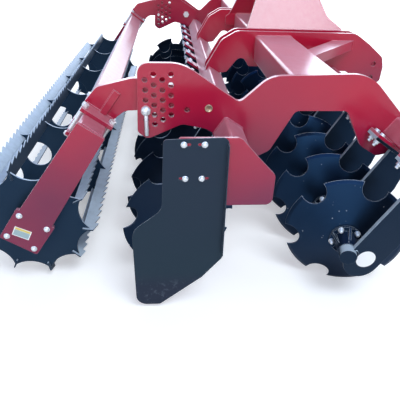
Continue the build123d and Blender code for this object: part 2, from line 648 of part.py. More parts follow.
bolt_x = (CLAMP_LENGTH + ROLLER_BEAM_SIDE) / 4
bolt_y = CLAMP_WIDTH / 2 - CLAMP_BOLT_INSET
clamp_bolt_spots = [(along * bolt_x, out * bolt_y) for along in (-1, 1) for out in (-1, 1)]
with BuildPart() as clamps:
    for y in (-gooseneck_y, gooseneck_y):
        for face in (1, -1):
            with BuildSketch(clamp_plane(y).offset(face * ROLLER_BEAM_SIDE / 2)):
                Rectangle(CLAMP_LENGTH, CLAMP_WIDTH)
                with Locations(*clamp_bolt_spots):
                    Circle(CLAMP_BOLT_RADIUS + PIN_SLACK, mode=Mode.SUBTRACT)
            extrude(amount=face * CLAMP_THICKNESS)
write(clamps, "roller_clamps")
with BuildPart() as clamp_bolts:
    for y in (-gooseneck_y, gooseneck_y):
        with BuildSketch(clamp_plane(y)):
            with Locations(*clamp_bolt_spots):
                Circle(CLAMP_BOLT_RADIUS)
        extrude(amount=clamp_lift, both=True)
        for face in (1, -1):
            with BuildSketch(clamp_plane(y).offset(face * clamp_lift)):
                with Locations(*clamp_bolt_spots):
                    RegularPolygon(CLAMP_NUT_RADIUS, 6)
            extrude(amount=face * CLAMP_NUT_LENGTH)
write(clamp_bolts, "clamp_bolts")

with BuildPart() as roller_beam:
    with BuildSketch(tilted(beam_spot[0], end_arm_inner, beam_spot[1], ROLLER_BEAM_TILT)):
        RectangleRounded(ROLLER_BEAM_SIDE, ROLLER_BEAM_SIDE, BEAM_CORNER)
        bore = ROLLER_BEAM_SIDE - 2 * ROLLER_BEAM_WALL
        Rectangle(bore, bore, mode=Mode.SUBTRACT)
    extrude(amount=2 * end_arm_inner)
write(roller_beam, "roller_beam")

# End arms: plates that step out to a square foot, with a flanged bearing on the foot's inner face.
arm_run = (beam_spot[0] - roller_x, 0, beam_spot[1] - ROLLER_HEIGHT)
arm_length = (arm_run[0] ** 2 + arm_run[2] ** 2) ** 0.5
end_arm_plane = Plane(origin=(roller_x, -end_arm_inner, ROLLER_HEIGHT), x_dir=arm_run, z_dir=(0, -1, 0))
with BuildPart() as end_arm:
    with BuildSketch(end_arm_plane):
        RectangleRounded(2 * END_ARM_FOOT, 2 * END_ARM_FOOT, END_ARM_CORNER)
        with BuildLine():
            Polyline(
                (0, -END_ARM_ANKLE), (END_ARM_FOOT, -END_ARM_ANKLE),
                (arm_length + END_ARM_HEAD, -END_ARM_TOP), (arm_length + END_ARM_HEAD, END_ARM_TOP),
                (END_ARM_FOOT, END_ARM_ANKLE), (0, END_ARM_ANKLE), close=True,
            )
        make_face()
    extrude(amount=END_ARM_THICKNESS)
write(end_arm, "end_arm_right")
write(opposite(end_arm), "end_arm_left")
with BuildPart() as bearing_plate:
    with BuildSketch(end_arm_plane):
        RectangleRounded(BEARING_SIDE, BEARING_SIDE, END_ARM_CORNER)
        Circle(STUB_RADIUS + STUB_CLEARANCE, mode=Mode.SUBTRACT)
    extrude(amount=-BEARING_THICKNESS)
    with BuildSketch(end_arm_plane.offset(-BEARING_THICKNESS)):
        Circle(BEARING_RADIUS)
        Circle(STUB_RADIUS + STUB_CLEARANCE, mode=Mode.SUBTRACT)
    extrude(amount=-BEARING_NOSE)
write(bearing_plate, "bearing_plate_right")
write(opposite(bearing_plate), "bearing_plate_left")


# Roller cage: scalloped star plates on a tube, with a toothed bar through every cusp.
def star(solid):
    half = radians(turn / 2)
    with BuildSketch() as plate:
        with BuildLine():
            for angle in bar_angles:
                ThreePointArc(
                    (CUSP_RADIUS * cos(angle), CUSP_RADIUS * sin(angle)),
                    (SCALLOP_RADIUS * cos(angle + half), SCALLOP_RADIUS * sin(angle + half)),
                    (CUSP_RADIUS * cos(angle + 2 * half), CUSP_RADIUS * sin(angle + 2 * half)),
                )
        make_face()
        if not solid:
            with PolarLocations(WINDOW_CENTRE_RADIUS, WINDOW_COUNT, start_angle=BAR_PHASE):
                Circle(WINDOW_RADIUS, mode=Mode.SUBTRACT)
    return plate.sketch


with BuildPart() as roller:
    with BuildSketch(upright(bar_half)):
        with Locations((roller_x, ROLLER_HEIGHT)):
            Circle(ROLLER_TUBE_RADIUS)
    extrude(amount=2 * bar_half)
    with BuildSketch(upright(end_arm_inner - TOUCH)):
        with Locations((roller_x, ROLLER_HEIGHT)):
            Circle(STUB_RADIUS)
    extrude(amount=2 * (end_arm_inner - TOUCH))
    for k in range(ROLLER_BAYS + 1):
        plate_y = (k - ROLLER_BAYS / 2) * ROLLER_BAY
        with BuildSketch(upright(plate_y + STAR_THICKNESS / 2)):
            with Locations((roller_x, ROLLER_HEIGHT)):
                add(star(k in (0, ROLLER_BAYS)))
        extrude(amount=STAR_THICKNESS)
    tooth = 2 * bar_half / TOOTH_COUNT
    for angle in bar_angles:
        across = (sin(angle), 0, -cos(angle))
        with BuildSketch(Plane(origin=(roller_x, 0, ROLLER_HEIGHT), x_dir=(0, 1, 0), z_dir=across)):
            with BuildLine():
                low = BAR_TIP_RADIUS - BAR_HEIGHT
                points = [(-bar_half, low)]
                for tip in range(TOOTH_COUNT):
                    points.append((tip * tooth - bar_half, BAR_TIP_RADIUS - TOOTH_DEPTH))
                    points.append(((tip + 1) * tooth - bar_half, BAR_TIP_RADIUS))
                points.append((bar_half, low))
                Polyline(*points, close=True)
            make_face()
        extrude(amount=BAR_THICKNESS / 2, both=True)
write(roller, "roller")
print("nodes written", len(os.listdir("parts")))
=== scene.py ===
"""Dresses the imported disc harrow: paint, bolts, welds, caps and labels, with light and camera."""
from math import cos, pi, radians, sin, tan, tau

import bmesh
import bpy
from mathutils import Matrix, Vector
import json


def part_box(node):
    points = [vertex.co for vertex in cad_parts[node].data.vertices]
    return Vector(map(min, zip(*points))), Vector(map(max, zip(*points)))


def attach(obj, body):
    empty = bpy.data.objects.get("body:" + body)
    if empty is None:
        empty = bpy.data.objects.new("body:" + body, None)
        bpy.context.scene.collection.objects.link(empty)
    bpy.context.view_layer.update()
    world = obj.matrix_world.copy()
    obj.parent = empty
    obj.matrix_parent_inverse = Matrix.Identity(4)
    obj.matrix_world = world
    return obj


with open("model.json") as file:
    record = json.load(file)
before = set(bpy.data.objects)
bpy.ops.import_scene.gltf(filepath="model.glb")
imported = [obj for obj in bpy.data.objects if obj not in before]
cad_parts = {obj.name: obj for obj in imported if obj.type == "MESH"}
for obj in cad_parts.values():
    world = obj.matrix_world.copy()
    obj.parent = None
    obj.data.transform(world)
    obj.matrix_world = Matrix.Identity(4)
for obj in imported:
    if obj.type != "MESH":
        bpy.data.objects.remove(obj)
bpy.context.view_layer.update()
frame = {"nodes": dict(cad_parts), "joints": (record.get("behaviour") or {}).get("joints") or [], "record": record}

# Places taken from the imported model's joints, and the machine's directions.
hinges = {joint["child"]: joint for joint in frame["joints"]}
pivot = Vector(hinges["roller_frame"]["pos_m"])
roller_centre = Vector(hinges["roller"]["pos_m"])
discs = sorted(name for name in hinges if name.startswith("disc_"))
forward = Vector((1, 0, 0))
leftward = Vector((0, 1, 0))
upward = Vector((0, 0, 1))

# Sizes are in metres, as the part is made, and angles in radians or, for the notches, degrees.
# Discs and hubs, measured along the axis from the middle of the rim.
DISC_YAW = radians(15)
DISC_DISH = 0.048
HUB_FLANGE = 0.066
HUB_NUTS = 5
HUB_NUT_CIRCLE = 0.057
NOTCH_ANGLES = (11, 13, 10, 38)

# Disc arms: from the disc's centre to the arm's axle, and the plate's own sizes.
ARM_OUT = 0.155321
ARM_BACK = 0.041618
ARM_SLOPE = radians(60)
ARM_OFFSET = 0.074
ARM_HALF = 0.008
BOSS_RADIUS = 0.034

# Tool beams and their mounts, measured from the beam's middle.
BEAM_AHEAD = 0.197
BEAM_Z = 0.659
BEAM_HALF = 0.045
BEAM_CORNER = 0.010
BEAM_TILT = radians(33)
MOUNT_TOP = -0.045
FLANGE_LOW = -0.069
MOUNT_BOLT = (0.093, 0.024)

# Main beam (rear and front face, under and upper face) and the plates that it passes through.
MAIN_BEAM = (pivot.x + 0.319, pivot.x + 0.525, 0.747, 0.885)
MAIN_CORNER = 0.016
PLATE_OUT = 1.290
PLATE_IN = 1.270
HITCH_FACES = (0.375, 0.395, 0.455, 0.475)

# Tower: its cross tube, the outer face of a plate at its bend, and the ears' faces.
TOWER_TUBE = Vector((pivot.x + 0.600, 0, 1.285))
TOWER_FOOT = 0.3755
TOWER_BEND = 0.890
TOWER_LEAN = radians(30)
EAR_FACES = (0.027, 0.043)

# Roller and its frame.
ROLLER_BEAM = Vector((pivot.x - 0.465, 0, 0.685))
ROLLER_TILT = radians(36)
ROLLER_BEAM_HALF = 0.050
ROLLER_BEAM_CORNER = 0.010
GOOSENECK_OUT = 1.267
GOOSENECK_IN = 1.239
END_ARM_IN = 1.436
END_ARM_OUT = 1.451
BEARING_FLANGE = 0.014
FOOT_BOLT = 0.059
STARS = 6
STAR_PITCH = 0.552

# Side shield: faces of the shield and of its bracket, and the bolts as (from the pivot, height).
SHIELD_FACE = 1.600
BRACKET_BACK = 1.586
SHIELD_BOLTS = ((-0.1070, 0.7396), (-0.0370, 0.7396), (-0.1020, 0.6115), (-0.0445, 0.6115))

# Lock pins: their place, and where their domed heads and their handles start.
LOCK_BEHIND = 0.246
LOCK_Z = 0.749
LOCK_HEAD = 1.304
LOCK_HANDLE = 1.2985

# Sockets of nodes that have several of one name.
MIX_FIRST, MIX_SECOND, MIX_COLOUR = 6, 7, 2
RANDOM_TOP, RANDOM_FLOAT = 3, 1


def linked(name, data):
    """A new object in the scene."""
    piece = bpy.data.objects.new(name, data)
    bpy.context.scene.collection.objects.link(piece)
    return piece


class Value:
    """An output socket that Python's operators work on."""

    def __init__(self, graph, socket):
        self.graph = graph
        self.socket = socket

    def math(self, operation, *others):
        values = dict(enumerate((self, *others)))
        return self.graph.node("ShaderNodeMath", {"operation": operation}, values)

    def __add__(self, other):
        return self.math("ADD", other)

    __radd__ = __add__

    def __mul__(self, other):
        return self.math("MULTIPLY", other)

    __rmul__ = __mul__

    def __sub__(self, other):
        return self.math("SUBTRACT", other)

    def __rsub__(self, other):
        return self.graph.node("ShaderNodeMath", {"operation": "SUBTRACT"}, {0: other, 1: self})

    def __gt__(self, other):
        return self.math("GREATER_THAN", other)

    def ramp(self, low, high, start=0.0, end=1.0):
        """A soft step from start to end as the value goes from low to high."""
        values = {"Value": self, "From Min": low, "From Max": high, "To Min": start, "To Max": end}
        return self.graph.node("ShaderNodeMapRange", {"interpolation_type": "SMOOTHSTEP"}, values)

    def vector(self, operation, other, out="Vector"):
        values = {0: self, 1: other}
        return self.graph.node("ShaderNodeVectorMath", {"operation": operation}, values, out)

    def axis(self, name):
        """One part of a vector."""
        return self.graph.node("ShaderNodeSeparateXYZ", {}, {0: self}, "XYZ".index(name))

    def dot(self, other):
        return self.vector("DOT_PRODUCT", other, "Value")

    def shifted(self, other, amount):
        """This vector moved along another by an amount."""
        values = {0: other, "Scale": amount}
        step = self.graph.node("ShaderNodeVectorMath", {"operation": "SCALE"}, values)
        return self.vector("ADD", step)


class Graph:
    """A node tree that is written as expressions."""

    def __init__(self, tree):
        self.tree = tree

    def node(self, kind, settings, values, out=0):
        """Adds a node, with its settings first and then its values or links."""
        made = self.tree.nodes.new(kind)
        for key, value in settings.items():
            setattr(made, key, value)
        for key, value in values.items():
            if isinstance(value, Value):
                self.tree.links.new(value.socket, made.inputs[key])
            else:
                made.inputs[key].default_value = value
        return Value(self, made.outputs[out]) if made.outputs else None

    def place(self):
        return self.node("ShaderNodeTexCoord", {}, {}, "Object")

    def facing(self):
        return self.node("ShaderNodeTexCoord", {}, {}, "Normal")

    def noise(self, place, scale, detail=2.0, roughness=0.5):
        values = {"Vector": place, "Scale": scale, "Detail": detail, "Roughness": roughness}
        return self.node("ShaderNodeTexNoise", {}, values)

    def specks(self, place, scale, size, share):
        """Mask of small round specks, present in a share of their cells."""
        cells = {"Vector": place, "Scale": scale, "Randomness": 1.0}
        near = self.node("ShaderNodeTexVoronoi", {}, cells)
        chosen = self.node("ShaderNodeTexVoronoi", {}, cells, "Color").axis("X") > 1 - share
        return near.ramp(size * 0.5, size, 1.0, 0.0) * chosen

    def mix(self, mask, first, second):
        """Colour that goes from first to second with the mask."""
        start, end = [c if isinstance(c, Value) else (*c, 1.0) for c in (first, second)]
        values = {0: mask, MIX_FIRST: start, MIX_SECOND: end}
        return self.node("ShaderNodeMix", {"data_type": "RGBA"}, values, MIX_COLOUR)

    def rounded(self, radius):
        """Normal with the edges rounded by a radius."""
        return self.node("ShaderNodeBevel", {"samples": 6}, {"Radius": radius})

    def edges(self, rounded, low, high):
        """Mask for painted edge highlights: how far the rounded normal turns away, weaker on undersides."""
        flat = self.node("ShaderNodeNewGeometry", {}, {}, "Normal")
        raised = self.facing().axis("Z").ramp(0.0, 0.5, 0.15, 1.0)
        return (1 - rounded.dot(flat)).ramp(low, high) * raised

    def bump(self, height, distance, normal):
        values = {"Height": height, "Distance": distance, "Normal": normal}
        return self.node("ShaderNodeBump", {}, values)


def emptied(holder):
    """The node tree of a material or a world, emptied."""
    holder.use_nodes = True
    holder.node_tree.nodes.clear()
    return Graph(holder.node_tree)


def finish(name, varying, **constant):
    """A Principled material; varying(graph) gives the sockets that change over the surface."""
    material = bpy.data.materials.new(name)
    graph = emptied(material)
    fixed = {}
    for key, value in constant.items():
        fixed[key.replace("_", " ").title().replace("Ior", "IOR")] = value
    shader = graph.node("ShaderNodeBsdfPrincipled", {}, {**fixed, **varying(graph)})
    graph.node("ShaderNodeOutputMaterial", {}, {"Surface": shader})
    return material


DUST = (0.62, 0.58, 0.55)


def sprayed(
        colour, shade, highlight_colour, edge_highlight, dust, grain=0.00002, painted_sky_sheen=0.0, painted_low_shade=False):
    """Sprayed paint over steel, with a slow drift of tone, orange peel, dust and painted edge highlights.

    A painted sky reflection pales what faces up, and a painted shade takes the paint to its shade lower down.
    """
    def varying(graph):
        place = graph.place()
        rounded = graph.rounded(radius=0.0026)
        drift = graph.noise(place, scale=1.7, detail=3.0).ramp(0.3, 0.7)
        # Painted shade: the paint goes to its shade colour towards the floor, with a quarter of the tone drift
        # left.
        if painted_low_shade:
            drift = drift * 0.25 + place.axis("Z").ramp(0.40, 0.86, 0.75, 0.0)
        cloud = graph.noise(place, scale=30.0, detail=6.0, roughness=0.62)
        up = graph.facing().axis("Z")
        dusty = cloud.ramp(0.2, 0.9) * up.ramp(0.3, 0.95) * dust
        # Towards the shade colour with the drift and, where set, with the painted shade low down.
        paint = graph.mix(drift, colour, shade)
        paint = graph.mix(dusty, paint, DUST)
        # Painted sky reflection: upward faces go towards the highlight colour, in cloudy patches.
        if painted_sky_sheen:
            sheen_and_wear = up.ramp(0.1, 0.7) * cloud.ramp(0.2, 0.7, painted_sky_sheen * 0.8, painted_sky_sheen)
            paint = graph.mix(sheen_and_wear, paint, highlight_colour)
        # Painted highlights along the edges, in the highlight colour.
        edges = graph.edges(rounded, 0.01, 0.18) * edge_highlight
        peel = graph.noise(place, scale=420.0)
        return {
            "Base Color": graph.mix(edges, paint, highlight_colour),
            "Roughness": drift.ramp(0.0, 1.0, 0.28, 0.38) + dusty * 0.4,
            "Normal": graph.bump(peel, grain, rounded),
        }
    return varying


def disc_paint(graph):
    """Dark disc paint with painted highlights on the rims, fine grit and pale dots."""
    place = graph.place()
    rounded = graph.rounded(radius=0.0034)
    drift = graph.noise(place, scale=5.0, detail=4.0, roughness=0.6)
    grit = graph.specks(place, scale=95.0, size=0.13, share=0.10)
    grit = grit * graph.noise(place, scale=7.0).ramp(0.48, 0.62)
    dots = graph.specks(place.shifted((1.0, 1.0, 1.0), 0.37), scale=42.0, size=0.13, share=0.3)
    dots = dots * graph.noise(place, scale=5.0).ramp(0.46, 0.52)
    paint = graph.mix(drift.ramp(0.3, 0.7), (0.003, 0.005, 0.009), (0.005, 0.009, 0.017))
    # Painted highlights along the rims and the notches' edges.
    paint = graph.mix(graph.edges(rounded, 0.01, 0.16) * 0.9, paint, (0.62, 0.72, 0.82))
    paint = graph.mix((grit + dots).ramp(0.0, 1.0) * 0.75, paint, (0.55, 0.6, 0.66))
    smear = graph.noise(place, scale=60.0, detail=5.0, roughness=0.65)
    return {
        "Base Color": paint,
        "Roughness": drift.ramp(0.3, 0.7, 0.3, 0.42) + grit * 0.3,
        "Normal": graph.bump(smear, 0.00006, rounded),
    }


def shield_paint(graph):
    """Slate paint on the shield, with pale grit and scuffs towards its foot."""
    place = graph.place()
    rounded = graph.rounded(radius=0.0018)
    height = place.axis("Z")
    drift = graph.noise(place, scale=3.2, detail=4.0, roughness=0.6)
    # In the shield this mask marks the foot: scuffs, rubs and a darker tone there.
    sheen_and_wear = height.ramp(0.10, 0.20, 1.0, 0.0)
    scuffs = graph.specks(place, scale=130.0, size=0.2, share=0.25) * sheen_and_wear
    rubs = graph.noise(place, scale=34.0, detail=5.0, roughness=0.65).ramp(0.52, 0.68) * sheen_and_wear
    marks = (scuffs * 0.5 + rubs * 0.4).ramp(0.0, 1.0) * 0.4
    paint = graph.mix(height.ramp(0.05, 0.7), (0.008, 0.019, 0.030), (0.012, 0.017, 0.032))
    paint = graph.mix(drift.ramp(0.3, 0.7) * 0.5, paint, (0.008, 0.018, 0.028))
    paint = graph.mix(sheen_and_wear * 0.7, paint, (0.012, 0.010, 0.026))
    paint = graph.mix(marks, paint, (0.3, 0.34, 0.42))
    # Painted highlights along the edges.
    paint = graph.mix(graph.edges(rounded, 0.01, 0.16) * 0.9, paint, (0.7, 0.78, 0.85))
    return {
        "Base Color": paint,
        "Roughness": drift.ramp(0.3, 0.7, 0.38, 0.5),
        "Normal": graph.bump(graph.noise(place, scale=300.0), 0.00003, rounded),
    }


def galvanised(bright, dull, scale):
    """Zinc with a mottle of dull and bright patches."""
    def varying(graph):
        place = graph.place()
        cells = {"Vector": place, "Scale": scale}
        patches = graph.node("ShaderNodeTexVoronoi", {}, cells, "Color").axis("X")
        bloom = graph.noise(place, scale=scale * 0.4, detail=4.0, roughness=0.6)
        return {
            "Base Color": graph.mix(patches * 0.6 + bloom.ramp(0.35, 0.7) * 0.4, bright, dull),
            "Roughness": patches * 0.15 + bloom.ramp(0.3, 0.7, 0.2, 0.42),
            "Normal": graph.bump(bloom, 0.0001, graph.rounded(radius=0.0008)),
        }
    return varying


def printed(colour, shade, scale):
    """A blank printed sheet: even colour, faint fibre and soft creases."""
    def varying(graph):
        place = graph.place()
        fibre = graph.noise(place, scale=scale, detail=4.0, roughness=0.6)
        creases = graph.noise(place, scale=scale * 0.2)
        return {
            "Base Color": graph.mix(fibre.ramp(0.35, 0.7), colour, shade),
            "Roughness": fibre.ramp(0.3, 0.7, 0.32, 0.46),
            "Normal": graph.bump(creases, 0.0001, graph.rounded(radius=0.0003)),
        }
    return varying


BLUE_TINT = (0.14, 0.44, 1.0, 1.0)
# Red paint: its shade is the darker wine of the painted shade low down, its highlight colour a pale pink.
red_paint = finish(
    "red_paint",
    sprayed(
        colour=(0.47, 0.008, 0.038), shade=(0.14, 0.007, 0.050), highlight_colour=(0.95, 0.66, 0.78),
        edge_highlight=0.7, dust=0.1, painted_sky_sheen=0.17, painted_low_shade=True),
    coat_weight=1.0, coat_roughness=0.2, coat_ior=1.58, specular_ior_level=0.03,
    sheen_weight=0.5, sheen_roughness=0.3, sheen_tint=(1.0, 0.82, 0.95, 1.0))
# Black paint: its highlight colour is a pale blue, for painted edge highlights and a painted sky reflection.
black_paint = finish(
    "black_paint",
    sprayed(
        colour=(0.005, 0.008, 0.012), shade=(0.008, 0.013, 0.020), highlight_colour=(0.6, 0.74, 0.88),
        edge_highlight=1.0, dust=0.1, painted_sky_sheen=0.7),
    specular_tint=BLUE_TINT, specular_ior_level=0.4)
# The roller's black paint, lighter and bluer than the arms': a painted reflection of the sky on its bars.
bar_paint = finish(
    "bar_paint",
    sprayed(
        colour=(0.010, 0.018, 0.027), shade=(0.016, 0.028, 0.042), highlight_colour=(0.64, 0.76, 0.90),
        edge_highlight=1.0, dust=0.0, painted_sky_sheen=0.75),
    specular_tint=BLUE_TINT)
disc_steel = finish("disc_steel", disc_paint, specular_tint=BLUE_TINT, specular_ior_level=0.62)
slate_paint = finish("slate_paint", shield_paint, specular_tint=(0.5, 0.7, 0.85, 1.0))
zinc = finish(
    "zinc", galvanised(bright=(0.88, 0.88, 0.86), dull=(0.62, 0.63, 0.63), scale=240.0),
    metallic=0.55)
bolt_zinc = finish(
    "bolt_zinc", galvanised(bright=(0.92, 0.93, 0.93), dull=(0.66, 0.69, 0.71), scale=500.0),
    metallic=0.6)
brass_zinc = finish(
    "brass_zinc", galvanised(bright=(0.72, 0.56, 0.36), dull=(0.4, 0.3, 0.2), scale=500.0),
    metallic=0.9)
cap_plastic = finish(
    "cap_plastic",
    sprayed(
        colour=(0.012, 0.013, 0.015), shade=(0.02, 0.021, 0.024), highlight_colour=(0.1, 0.1, 0.11),
        edge_highlight=0.4, dust=0.3, grain=0.00008),
    specular_ior_level=0.35)
label_yellow = finish(
    "label_yellow", printed(colour=(0.75, 0.6, 0.12), shade=(0.62, 0.48, 0.1), scale=900.0),
    coat_weight=0.3)
label_grey = finish(
    "label_grey", printed(colour=(0.35, 0.47, 0.5), shade=(0.27, 0.38, 0.42), scale=900.0),
    coat_weight=0.3)
sticker_white = finish(
    "sticker_white", printed(colour=(0.9, 0.91, 0.92), shade=(0.82, 0.84, 0.86), scale=700.0),
    coat_weight=0.4)

# Every imported node gets the finish of its slot, and the roller its own, with painted reflection.
slot_finish = {
    "red_paint": red_paint, "black_paint": black_paint, "shield_paint": slate_paint,
    "disc_steel": disc_steel, "zinc": zinc,
}
for part in frame["record"]["subparts"]:
    cad = frame["nodes"][part["node"]]
    cad.data.materials.clear()
    own = bar_paint if part["node"] == "roller" else slot_finish[part["material_slot"]]
    cad.data.materials.append(own)


def added(name, mesh, body, material=None):
    """Links a finished mesh and hands it to its body and slot."""
    piece = linked(name, mesh)
    if material:
        mesh.materials.append(material)
    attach(piece, body)
    return piece


def group_tree(name, inputs):
    """An empty Geometry Nodes tree with a geometry socket at each end and named inputs."""
    tree = bpy.data.node_groups.new(name, "GeometryNodeTree")
    tree.interface.new_socket("Geometry", in_out="INPUT", socket_type="NodeSocketGeometry")
    for title, kind in inputs:
        tree.interface.new_socket(title, in_out="INPUT", socket_type=kind)
    tree.interface.new_socket("Geometry", in_out="OUTPUT", socket_type="NodeSocketGeometry")
    graph = Graph(tree)
    source = tree.nodes.new("NodeGroupInput")
    given = {socket.name: Value(graph, socket) for socket in source.outputs if socket.name}
    return tree, graph, given


def grown(name, mesh, tree, values):
    """Runs a tree on a mesh and returns the result as a plain mesh."""
    carrier = linked(name + "_carrier", mesh)
    modifier = carrier.modifiers.new("grow", "NODES")
    modifier.node_group = tree
    for item in tree.interface.items_tree:
        if item.in_out == "INPUT" and item.name in values:
            modifier[item.identifier] = values[item.name]
    view = bpy.context.evaluated_depsgraph_get()
    result = bpy.data.meshes.new_from_object(carrier.evaluated_get(view), depsgraph=view)
    result.name = name
    carrier.modifiers.clear()
    bpy.data.objects.remove(carrier)
    return result


def fastener_tree():
    """A fastener on each point, turned to the point's facing and by a seeded angle about it."""
    tree, graph, given = group_tree("fasteners", [
        ("Fastener", "NodeSocketObject"), ("Seed", "NodeSocketInt"),
        ("Finish", "NodeSocketMaterial")])
    facing = graph.node(
        "GeometryNodeInputNamedAttribute", {"data_type": "FLOAT_VECTOR"}, {"Name": "facing"})
    upright = graph.node("FunctionNodeAlignRotationToVector", {"axis": "Z"}, {"Vector": facing})
    angle = graph.node(
        "FunctionNodeRandomValue", {"data_type": "FLOAT"},
        {RANDOM_TOP: tau, "Seed": given["Seed"]}, RANDOM_FLOAT)
    spin = graph.node(
        "FunctionNodeAxisAngleToRotation", {}, {"Axis": (0, 0, 1), "Angle": angle})
    turned = graph.node(
        "FunctionNodeRotateRotation", {"rotation_space": "LOCAL"}, {0: upright, 1: spin})
    shape = graph.node(
        "GeometryNodeObjectInfo", {}, {"Object": given["Fastener"], "As Instance": True},
        "Geometry")
    placed = graph.node(
        "GeometryNodeInstanceOnPoints", {},
        {"Points": given["Geometry"], "Instance": shape, "Rotation": turned})
    real = graph.node("GeometryNodeRealizeInstances", {}, {0: placed})
    done = graph.node("GeometryNodeSetMaterial", {}, {0: real, "Material": given["Finish"]})
    graph.node("NodeGroupOutput", {}, {0: done})
    return tree


# Weld beads: sides of the section, length of a ripple, points along it, and how uneven they are.
BEAD_SIDES = 6
BEAD_RIPPLE = 0.0095
BEAD_STEP_SHARE = 0.34
BEAD_UNEVENNESS = 0.10
BEAD_WANDER = 2.2


def bead_tree():
    """A weld bead with a seeded, uneven ripple along each run of edges."""
    tree, graph, given = group_tree("weld_beads", [
        ("Radius", "NodeSocketFloat"), ("Ripple", "NodeSocketFloat"),
        ("Unevenness", "NodeSocketFloat"), ("Seed", "NodeSocketFloat"),
        ("Finish", "NodeSocketMaterial")])
    run = graph.node("GeometryNodeMeshToCurve", {}, {0: given["Geometry"]})
    run = graph.node(
        "GeometryNodeResampleCurve", {"mode": "LENGTH"},
        {"Curve": run, "Length": given["Ripple"] * BEAD_STEP_SHARE})
    along = graph.node("GeometryNodeSplineParameter", {}, {}, "Length")
    wave = (along * (tau / BEAD_RIPPLE)).math("SINE")
    wander = graph.node(
        "ShaderNodeTexNoise", {"noise_dimensions": "4D"}, {"W": given["Seed"], "Scale": 90.0})
    uneven = given["Unevenness"]
    size = 1 + wave * uneven + (wander - 0.5) * uneven * BEAD_WANDER
    section = graph.node(
        "GeometryNodeCurvePrimitiveCircle", {},
        {"Resolution": BEAD_SIDES, "Radius": given["Radius"]})
    bead = graph.node(
        "GeometryNodeCurveToMesh", {}, {0: run, 1: section, "Scale": size, "Fill Caps": True})
    smooth = graph.node("GeometryNodeSetShadeSmooth", {}, {0: bead})
    real = graph.node("GeometryNodeRealizeInstances", {}, {0: smooth})
    done = graph.node("GeometryNodeSetMaterial", {}, {0: real, "Material": given["Finish"]})
    graph.node("NodeGroupOutput", {}, {0: done})
    return tree


fasteners = fastener_tree()
weld_beads = bead_tree()


def closed_solid(shape, loops):
    """Adds walls between loops of points, one above the other, and a cap at each end."""
    rings = [[shape.verts.new(point) for point in loop] for loop in loops]
    for low, high in zip(rings, rings[1:]):
        for k in range(len(low)):
            after = (k + 1) % len(low)
            shape.faces.new((low[k], low[after], high[after], high[k]))
    shape.faces.new(rings[0][::-1])
    shape.faces.new(rings[-1])


def meshed(name, shape):
    """The mesh of a finished bmesh."""
    mesh = bpy.data.meshes.new(name)
    shape.to_mesh(mesh)
    shape.free()
    return mesh


SHARP_EDGE = 0.6
SAME_PLACE = 1e-6
CORNER_STEPS = 3


def turned_stack(name, parts):
    """A fastener's template: closed turned solids, each (sides, profile of (radius, height))."""
    shape = bmesh.new()
    for sides, profile in parts:
        turns = [tau * k / sides for k in range(sides)]
        closed_solid(shape, [
            [(radius * cos(turn), radius * sin(turn), height) for turn in turns]
            for radius, height in profile])
    for face in shape.faces:
        face.smooth = True
    for edge in shape.edges:
        edge.smooth = edge.calc_face_angle(0.0) < SHARP_EDGE
    return linked(name, meshed(name, shape))


# Fasteners as stacks of turned solids: (sides, profile of (radius, height over the seat)).
STACKS = {
    "hub_nut": [
        (14, [(0.0125, -0.0006), (0.0125, 0.0022)]),
        (6, [(0.0112, 0.0016), (0.0112, 0.0095), (0.0098, 0.0108)]),
        (12, [(0.0092, 0.0100), (0.0082, 0.0150), (0.0052, 0.0195), (0.0030, 0.0205)]),
    ],
    "hub_head": [
        (14, [(0.0135, -0.0006), (0.0128, 0.0022), (0.0095, 0.0048), (0.0045, 0.0060)]),
    ],
    "mount_head": [
        (16, [(0.0130, -0.0006), (0.0130, 0.0024)]),
        (6, [(0.0115, 0.0016), (0.0115, 0.0080), (0.0098, 0.0094)]),
    ],
    "mount_nut": [
        (16, [(0.0138, -0.0006), (0.0138, 0.0026)]),
        (6, [(0.0120, 0.0018), (0.0120, 0.0125), (0.0104, 0.0138)]),
        (10, [(0.0068, 0.0125), (0.0068, 0.0240), (0.0056, 0.0254)]),
    ],
    "foot_head": [
        (18, [(0.0126, -0.0006), (0.0126, 0.0018), (0.0116, 0.0028)]),
        (6, [(0.0100, 0.0020), (0.0100, 0.0082), (0.0086, 0.0095)]),
        (12, [(0.0066, 0.0088), (0.0056, 0.0106), (0.0026, 0.0113)]),
    ],
    "plain_head": [
        (18, [(0.0112, -0.0005), (0.0112, 0.0020)]),
        (6, [(0.0094, 0.0014), (0.0094, 0.0075), (0.0082, 0.0086)]),
    ],
    "pin_cap": [
        (28, [
            (0.0186, -0.0004), (0.0186, 0.0008), (0.0172, 0.0045), (0.0135, 0.0078),
            (0.0085, 0.0100), (0.0030, 0.0108)]),
    ],
    "pin_handle": [
        (20, [(0.0070, 0.0130), (0.0080, 0.0145), (0.0080, 0.1005), (0.0072, 0.1020)]),
    ],
    "pivot_collar": [
        (32, [
            (0.0152, 0.0), (0.0152, 0.0016), (0.0144, 0.0026), (0.0128, 0.0026),
            (0.0120, 0.0021)]),
    ],
}
templates = {name: turned_stack(name, parts) for name, parts in STACKS.items()}


def fastened(name, template, spots, body, material=bolt_zinc, seed=1):
    """One mesh of fasteners on spots, each (place, facing)."""
    points = bpy.data.meshes.new(name + "_points")
    points.from_pydata([tuple(place) for place, _ in spots], [], [])
    facing = points.attributes.new("facing", "FLOAT_VECTOR", "POINT")
    for k, (_, direction) in enumerate(spots):
        facing.data[k].vector = direction
    mesh = grown(name, points, fasteners, {
        "Fastener": templates[template], "Seed": seed, "Finish": material})
    return added(name, mesh, body)


